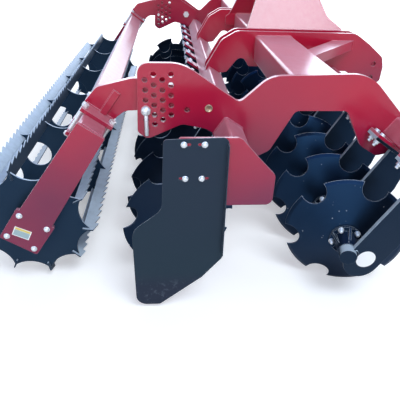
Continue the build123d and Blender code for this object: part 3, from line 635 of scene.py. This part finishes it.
def welded(name, runs, body, material, radius, seed):
    """One mesh of weld beads along runs of points; a closed run repeats its first point."""
    points, edges = [], []
    for run in runs:
        start = len(points)
        closed = (Vector(run[0]) - Vector(run[-1])).length < SAME_PLACE
        kept = run[:-1] if closed else run
        points += [tuple(p) for p in kept]
        edges += [(start + k, start + k + 1) for k in range(len(kept) - 1)]
        if closed:
            edges.append((len(points) - 1, start))
    path = bpy.data.meshes.new(name + "_path")
    path.from_pydata(points, edges, [])
    mesh = grown(name, path, weld_beads, {
        "Radius": radius, "Ripple": BEAD_RIPPLE, "Unevenness": BEAD_UNEVENNESS, "Seed": seed,
        "Finish": material})
    return added(name, mesh, body)


def ring(centre, along, across, radius, count=28):
    """A closed run round a circle."""
    points = []
    for k in range(count):
        angle = tau * k / count
        points.append(centre + radius * (cos(angle) * along + sin(angle) * across))
    return points + [points[0]]


def rounded_box(centre, along, up, half_along, half_up, corner):
    """A closed run round a box section with rounded corners."""
    points = []
    for k, (sx, sz) in enumerate(((1, 1), (-1, 1), (-1, -1), (1, -1))):
        middle = centre + sx * (half_along - corner) * along + sz * (half_up - corner) * up
        for step in range(CORNER_STEPS + 1):
            angle = pi / 2 * (k + step / CORNER_STEPS)
            points.append(middle + corner * (cos(angle) * along + sin(angle) * up))
    return points + [points[0]]


# Directions of the tool beams' mounts, the roller's clamps, the arms and the end arms' feet.
mount_along = Vector((cos(BEAM_TILT), 0, -sin(BEAM_TILT)))
mount_up = Vector((sin(BEAM_TILT), 0, cos(BEAM_TILT)))
clamp_along = Vector((cos(ROLLER_TILT), 0, -sin(ROLLER_TILT)))
clamp_up = Vector((sin(ROLLER_TILT), 0, cos(ROLLER_TILT)))
arm_along = Vector((cos(ARM_SLOPE), 0, sin(ARM_SLOPE)))
arm_ahead = Vector((sin(ARM_SLOPE), 0, -cos(ARM_SLOPE)))
foot_along = (ROLLER_BEAM - roller_centre).normalized()
foot_across = Vector((foot_along.z, 0, -foot_along.x))


class Arm:
    """One disc arm's places. The front row's arms stand to the right of their discs."""

    def __init__(self, disc):
        joint = hinges[disc]
        centre = Vector(joint["pos_m"])
        sign = -1 if disc.startswith("disc_front") else 1
        self.axle = Vector((centre.x - ARM_BACK, centre.y + sign * ARM_OUT, centre.z))
        self.outward = Vector(joint["axis"]).normalized()
        self.beam = Vector((centre.x + BEAM_AHEAD, self.axle.y, BEAM_Z))
        self.foot = self.axle + ARM_OFFSET * arm_ahead
        drop = FLANGE_LOW - (self.foot - self.beam).dot(mount_up)
        self.seat = self.foot + drop / arm_along.dot(mount_up) * arm_along


rows = {}
for row in ("front", "rear"):
    rows[row] = [Arm(disc) for disc in discs if disc.startswith(f"disc_{row}")]

# Nuts and heads of each disc's hub, between the ribs.
for number, disc in enumerate(discs):
    centre = Vector(hinges[disc]["pos_m"])
    axis = Vector(hinges[disc]["axis"]).normalized()
    across = axis.cross(upward).normalized() * -1
    notch = NOTCH_ANGLES[(int(disc[-2:]) - 1) % len(NOTCH_ANGLES)]
    spokes = []
    for k in range(HUB_NUTS):
        angle = radians(360 / HUB_NUTS * (k + 0.5) + notch)
        spokes.append(HUB_NUT_CIRCLE * (cos(angle) * across + sin(angle) * upward))
    nuts = [(centre + HUB_FLANGE * axis + spoke, axis) for spoke in spokes]
    heads = [(centre + DISC_DISH * axis + spoke, -axis) for spoke in spokes]
    fastened(f"{disc}_nuts", "hub_nut", nuts, disc, seed=number)
    fastened(f"{disc}_heads", "hub_head", heads, disc, black_paint, seed=number)

# Bolts of the arm mounts: heads over the mount plates, nuts and studs under the flanges.
for row, row_arms in rows.items():
    heads, nuts = [], []
    for arm in row_arms:
        for along in (-MOUNT_BOLT[0], MOUNT_BOLT[0]):
            for out in (-MOUNT_BOLT[1], MOUNT_BOLT[1]):
                spot = arm.beam + along * mount_along + out * leftward
                heads.append((spot + MOUNT_TOP * mount_up, mount_up))
                nuts.append((spot + FLANGE_LOW * mount_up, -mount_up))
    fastened(f"{row}_mount_heads", "mount_head", heads, "frame", seed=3)
    fastened(f"{row}_mount_nuts", "mount_nut", nuts, "frame", seed=4)

# Bolts of the end arms' feet, through the bearing flanges.
heads, nuts = [], []
for side in (-1, 1):
    for along in (-FOOT_BOLT, FOOT_BOLT):
        for across in (-FOOT_BOLT, FOOT_BOLT):
            spot = roller_centre + along * foot_along + across * foot_across
            nut_y = side * (END_ARM_IN - BEARING_FLANGE)
            heads.append((Vector((spot.x, side * END_ARM_OUT, spot.z)), side * leftward))
            nuts.append((Vector((spot.x, nut_y, spot.z)), -side * leftward))
fastened("foot_bolt_heads", "foot_head", heads, "roller_frame", seed=5)
fastened("foot_bolt_nuts", "plain_head", nuts, "roller_frame", seed=6)

# Bolts of the side shield, each at one end of its slot, and their nuts behind the bracket.
heads = [(Vector((pivot.x + x, -SHIELD_FACE, z)), -leftward) for x, z in SHIELD_BOLTS]
nuts = [(Vector((pivot.x + x, -BRACKET_BACK, z)), leftward) for x, z in SHIELD_BOLTS]
fastened("shield_bolt_heads", "plain_head", heads, "frame", seed=7)
fastened("shield_bolt_nuts", "plain_head", nuts, "frame", seed=8)

# Domed heads and broad handles of the lock pins.
lock_x = pivot.x - LOCK_BEHIND
caps, handles = [], []
for side in (-1, 1):
    caps.append((Vector((lock_x, side * LOCK_HEAD, LOCK_Z)), side * leftward))
    handles.append((Vector((lock_x, side * LOCK_HANDLE, LOCK_Z)), -upward))
fastened("lock_pin_caps", "pin_cap", caps, "frame", seed=9)
fastened("lock_pin_handles", "pin_handle", handles, "frame", seed=10)

# Welds of the arms: along the flanges, and round the bosses on both faces of each plate, as far
# as the plate reaches from its foot. Welds of the mounts: along the beams' upper edges.
WELD_STAND = 0.001
ARM_SEAM = (0.066, 0.036)
ARM_REACH = 0.0755
MOUNT_SEAM_IN = 0.0035
MOUNT_SEAM_STAND = 0.0025
MOUNT_SEAM_HALF = 0.038
for row, row_arms in rows.items():
    runs, seams = [], []
    for arm in row_arms:
        slant = arm.outward.x / abs(arm.outward.y)
        for face in (-1, 1):
            stand = face * (ARM_HALF + WELD_STAND) * leftward - WELD_STAND * mount_up
            seam = arm.seat + stand
            runs.append([seam - ARM_SEAM[0] * mount_along, seam + ARM_SEAM[1] * mount_along])
            centre = arm.axle + face * ARM_HALF * Vector((slant, 1, 0))
            boss = ring(centre, forward / cos(DISC_YAW), upward, BOSS_RADIUS + WELD_STAND, count=24)
            on_plate = [p for p in boss if (p - arm.foot).length < ARM_REACH][:-1]
            if len(on_plate) > 1:
                runs.append(on_plate)
        for edge in (-1, 1):
            middle = arm.beam + edge * (BEAM_HALF - MOUNT_SEAM_IN) * mount_along
            middle += (MOUNT_TOP + MOUNT_SEAM_STAND) * mount_up
            seams.append([
                middle - MOUNT_SEAM_HALF * leftward, middle + MOUNT_SEAM_HALF * leftward])
    welded(
        f"{row}_arm_welds", runs, "frame", black_paint, radius=0.0038, seed=2.0)
    welded(
        f"{row}_mount_welds", seams, "frame", red_paint, radius=0.0048, seed=3.0)

# Welds round the beams where they meet the hitch plates and the side plates.
BEAM_FACES = {"front": (*HITCH_FACES, PLATE_IN, PLATE_OUT), "rear": (PLATE_IN, PLATE_OUT)}
beam_rear, beam_front, beam_low, beam_high = MAIN_BEAM
main_centre = Vector(((beam_rear + beam_front) / 2, 0, (beam_low + beam_high) / 2))
main_half = ((beam_front - beam_rear) / 2, (beam_high - beam_low) / 2)
runs = []
for side in (-1, 1):
    for face in (*HITCH_FACES, PLATE_IN):
        centre = main_centre + side * face * leftward
        runs.append(rounded_box(centre, forward, upward, *main_half, MAIN_CORNER))
for row, faces in BEAM_FACES.items():
    beam = rows[row][0].beam
    for side in (-1, 1):
        for face in faces:
            centre = Vector((beam.x, side * face, beam.z))
            runs.append(rounded_box(
                centre, mount_along, mount_up, BEAM_HALF, BEAM_HALF, BEAM_CORNER))
welded("beam_welds", runs, "frame", red_paint, radius=0.0045, seed=4.0)

# Welds of the tower: its tube, ears and feet. Welds of the braces, each end given as
# (from the pivot, from the middle, direction, half width).
TUBE_WELD = 0.0385
FOOT_SEAM_IN = 0.0165
FOOT_SEAM_SHORT = 0.012
FOOT_SEAM_Z = 0.886
BRACE_Z = 0.839
BRACE_HALF = 0.025
BRACE_CORNER = 0.002
BRACE_ENDS = ((0.8105, 0.4755, forward, 0.0615), (0.5255, 0.7985, leftward, 0.0655))
runs = []
for side in (-1, 1):
    tube = []
    for point in ring(TOWER_TUBE, forward, upward, TUBE_WELD):
        plate_y = TOWER_FOOT - (point.z - TOWER_BEND) * tan(TOWER_LEAN)
        tube.append(Vector((point.x, side * plate_y, point.z)))
    runs.append(tube)
    for face in EAR_FACES:
        runs.append(ring(TOWER_TUBE + side * face * leftward, forward, upward, TUBE_WELD))
    foot_y = side * (HITCH_FACES[0] - FOOT_SEAM_IN)
    runs.append([
        Vector((beam_rear + FOOT_SEAM_SHORT, foot_y, FOOT_SEAM_Z)),
        Vector((beam_front - FOOT_SEAM_SHORT, foot_y, FOOT_SEAM_Z))])
    for x, y, along, half in BRACE_ENDS:
        centre = Vector((pivot.x + x, side * y, BRACE_Z))
        runs.append(rounded_box(centre, along, upward, half, BRACE_HALF, BRACE_CORNER))
welded("tower_welds", runs, "frame", red_paint, radius=0.0042, seed=5.0)

# Welds of the roller's frame: end arms, goosenecks and the ribs on their clamp plates.
CLAMP_TOP = 0.066
CLAMP_SEAM = (0.060, 0.058)
RIB_AHEAD = 0.013
RIB_HALF = 0.013
RIB_STAND = 0.0005
RIB_HEIGHT = 0.105
runs = []
for side in (-1, 1):
    runs.append(rounded_box(
        ROLLER_BEAM + side * END_ARM_IN * leftward, clamp_along, clamp_up,
        ROLLER_BEAM_HALF, ROLLER_BEAM_HALF, ROLLER_BEAM_CORNER))
    for face in (GOOSENECK_IN, GOOSENECK_OUT):
        seat = ROLLER_BEAM + side * face * leftward + CLAMP_TOP * clamp_up
        runs.append([seat - CLAMP_SEAM[0] * clamp_along, seat + CLAMP_SEAM[1] * clamp_along])
    rib = ROLLER_BEAM + side * (GOOSENECK_OUT + RIB_STAND) * leftward
    rib += CLAMP_TOP * clamp_up + RIB_AHEAD * clamp_along
    for edge in (-RIB_HALF, RIB_HALF):
        foot = rib + edge * clamp_along
        runs.append([foot, foot + RIB_HEIGHT * clamp_up])
welded(
    "roller_frame_welds", runs, "roller_frame", red_paint, radius=0.0042, seed=6.0)

# Welds of the roller: its star plates on the tube, on both faces.
STAR_FACE = 0.0045
STAR_WELD = 0.0455
runs = []
for k in range(STARS):
    for face in (-STAR_FACE, STAR_FACE):
        star_y = (k - (STARS - 1) / 2) * STAR_PITCH + face
        centre = Vector((roller_centre.x, star_y, roller_centre.z))
        runs.append(ring(centre, forward, upward, STAR_WELD, count=30))
welded("roller_welds", runs, "roller", black_paint, radius=0.0038, seed=7.0)


def plated(name, loops, material, body):
    """A thin plate as a closed solid between loops of points."""
    shape = bmesh.new()
    closed_solid(shape, loops)
    bmesh.ops.recalc_face_normals(shape, faces=shape.faces)
    return added(name, meshed(name, shape), body, material)


def pressed_plate(name, centre, along, up, sizes, material, body):
    """A plate with softened edges, with sizes (half along, half up, corner, depth)."""
    half_along, half_up, corner, depth = sizes
    outward = along.cross(up).normalized()
    lip = min(depth * 0.4, corner * 0.5)
    outer = rounded_box(centre, along, up, half_along, half_up, corner)[:-1]
    inner = rounded_box(
        centre, along, up, half_along - lip, half_up - lip, corner - lip * 0.5)[:-1]
    side = [p + (depth - lip) * outward for p in outer]
    top = [p + depth * outward for p in inner]
    return plated(name, [outer, side, top], material, body)


# Caps in the open ends of the tool beams. The shield's bracket closes the rear one's right end.
CAP_SIZES = (0.0368, 0.0368, 0.003, 0.006)
CAP_SUNK = 0.008
for row, ends in (("front", (-1, 1)), ("rear", (1,))):
    low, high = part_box(f"{row}_beam")
    beam = rows[row][0].beam
    for end in ends:
        face = low.y if end < 0 else high.y
        centre = Vector((beam.x, face - end * CAP_SUNK, beam.z))
        along = mount_along if end < 0 else -mount_along
        side = "right" if end < 0 else "left"
        pressed_plate(
            f"{row}_beam_cap_{side}", centre, along, mount_up, CAP_SIZES, cap_plastic,
            "frame")

# The blank label on the right end arm: (name, rise over its middle, sizes, finish).
LABEL_TURN = radians(-27)
LABEL_BEHIND = 0.7605
LABEL_Z = 0.285
LABEL_PLATES = (
    ("foot_label_back", 0.0, (0.0345, 0.0225, 0.002, 0.0005), sticker_white),
    ("foot_label_panel", -0.005, (0.031, 0.014, 0.001, 0.0009), label_grey),
    ("foot_label_band", 0.0150, (0.031, 0.0050, 0.001, 0.0009), label_yellow),
)
label_along = Vector((cos(LABEL_TURN), 0, sin(LABEL_TURN)))
label_up = Vector((-sin(LABEL_TURN), 0, cos(LABEL_TURN)))
label_centre = Vector((pivot.x - LABEL_BEHIND, -END_ARM_OUT, LABEL_Z))
for name, rise, sizes, material in LABEL_PLATES:
    pressed_plate(
        name, label_centre + rise * label_up, label_along, label_up, sizes, material,
        "roller_frame")

# The blank round sticker on the arm of the first front disc.
STICKER_AHEAD = 0.632
STICKER_Z = 0.233
STICKER_DEPTH = 0.0008
STICKER_RIM = 0.040
STICKER_TOP = 0.0394
sticker_y = rows["front"][0].axle.y - ARM_HALF
sticker_centre = Vector((pivot.x + STICKER_AHEAD, sticker_y, STICKER_Z))
top_centre = sticker_centre - STICKER_DEPTH * leftward
plated("arm_sticker", [
    ring(sticker_centre, forward, upward, STICKER_RIM, count=40)[:-1],
    ring(top_centre, forward, upward, STICKER_TOP, count=40)[:-1],
], sticker_white, "frame")

# Rings round the pivots' outer ends.
for side, word in ((-1, "right"), (1, "left")):
    spot = Vector((pivot.x, side * PLATE_OUT, pivot.z))
    fastened(
        f"pivot_ring_{word}", "pivot_collar", [(spot, side * leftward)], "frame",
        brass_zinc)

for template in templates.values():
    bpy.data.objects.remove(template)

# Floor: pale, with a glow for the camera that grows with the distance from the machine.
FLOOR_HALF = 40
GLOW_REACH = (2.0, 9.0)
GLOW_STRENGTH = (0.34, 0.75)
floor_mesh = bpy.data.meshes.new("floor")
corners = [(x * FLOOR_HALF, y * FLOOR_HALF, 0) for x, y in ((-1, -1), (1, -1), (1, 1), (-1, 1))]
floor_mesh.from_pydata(corners, [], [(0, 1, 2, 3)])
floor = linked("floor", floor_mesh)
pale = bpy.data.materials.new("pale_floor")
graph = emptied(pale)
grain = graph.noise(graph.place(), scale=3.0, detail=3.0)
mottle = graph.mix(grain, (0.82, 0.83, 0.86), (0.86, 0.86, 0.88))
ground = graph.node("ShaderNodeBsdfDiffuse", {}, {"Color": mottle})
seen = graph.node("ShaderNodeLightPath", {}, {}, "Is Camera Ray")
reach = graph.place().dot(graph.place()).math("SQRT")
strength = seen * reach.ramp(*GLOW_REACH, *GLOW_STRENGTH)
glow = graph.node("ShaderNodeEmission", {}, {
    "Color": (1.0, 1.0, 1.0, 1.0), "Strength": strength})
both = graph.node("ShaderNodeAddShader", {}, {0: ground, 1: glow})
graph.node("ShaderNodeOutputMaterial", {}, {"Surface": both})
floor_mesh.materials.append(pale)

# Sky: plain for scattered light, and bluer overhead where it is mirrored. The camera sees it
# white, because the shown colour times the mirrored strength is about 1.
SKY_MIRRORED = 1.4
SKY_SCATTERED = 0.52
SKY_SHOWN = (0.72, 0.72, 0.72)
sky = bpy.data.worlds.new("studio_sky")
bpy.context.scene.world = sky
graph = emptied(sky)
height = graph.node("ShaderNodeTexCoord", {}, {}, "Generated").axis("Z")
mirrored = graph.mix(height.ramp(0.0, 0.35), (0.93, 0.97, 1.0), (0.26, 0.50, 1.0))
plain = graph.mix(height.ramp(0.0, 0.8), (0.98, 0.97, 0.98), (0.72, 0.82, 1.0))
scattered = graph.node("ShaderNodeLightPath", {}, {}, "Is Diffuse Ray")
seen = graph.node("ShaderNodeLightPath", {}, {}, "Is Camera Ray")
shown = graph.mix(seen, graph.mix(scattered, mirrored, plain), SKY_SHOWN)
strength = scattered.ramp(0.0, 1.0, SKY_MIRRORED, SKY_SCATTERED)
light = graph.node("ShaderNodeBackground", {}, {"Color": shown, "Strength": strength})
graph.node("ShaderNodeOutputWorld", {}, {"Surface": light})


def lamp(name, place, target, width, height, radiance, colour):
    """A soft rectangular lamp of a given brightness, aimed at a target, unseen by the camera."""
    data = bpy.data.lights.new(name, "AREA")
    data.shape = "RECTANGLE"
    data.size = width
    data.size_y = height
    data.energy = radiance * pi * width * height
    data.color = colour
    piece = linked(name, data)
    piece.location = place
    aim = Vector(target) - Vector(place)
    piece.rotation_euler = aim.to_track_quat("-Z", "Y").to_euler()
    piece.visible_camera = False


# Lamps as (name, place, target, width, height, radiance, colour).
LAMPS = (
    ("back_softbox", (0.9, 6.6, 4.2), (0.2, 0.0, 0.6), 8.0, 5.0, 3.0, (0.93, 0.97, 1.0)),
    ("front_softbox", (1.8, -4.2, 6.0), (0.3, -0.4, 0.7), 2.7, 2.7, 10.0, (0.88, 0.96, 1.0)),
    ("low_softbox", (-0.8, -6.8, 2.0), (0.0, -1.0, 0.5), 3.4, 2.2, 3.0, (1.0, 0.98, 0.98)),
    ("side_softbox", (-5.0, -3.0, 2.6), (-0.3, -1.0, 0.4), 2.5, 2.5, 2.0, (0.95, 0.98, 1.0)),
)
for settings in LAMPS:
    lamp(*settings)

# Camera at the photograph's viewing angle.
YAW = radians(4.47)
PITCH = radians(31.33)
ROLL = radians(1.61)
CAMERA_PLACE = (-0.1832, -2.8991, 1.3174)
SENSOR = 36.0
LENS_SHARE = 1.0615
look = Vector((sin(YAW) * cos(PITCH), cos(YAW) * cos(PITCH), -sin(PITCH)))
level = Vector((cos(YAW), -sin(YAW), 0))
above = level.cross(look)
right = cos(ROLL) * level + sin(ROLL) * above
top = cos(ROLL) * above - sin(ROLL) * level
camera_data = bpy.data.cameras.new("camera")
camera_data.sensor_width = SENSOR
camera_data.lens = SENSOR * LENS_SHARE
camera = linked("camera", camera_data)
turn = Matrix((right, top, -look)).transposed().to_4x4()
camera.matrix_world = Matrix.Translation(CAMERA_PLACE) @ turn
bpy.context.scene.camera = camera
bpy.context.scene.view_settings.view_transform = "Standard"
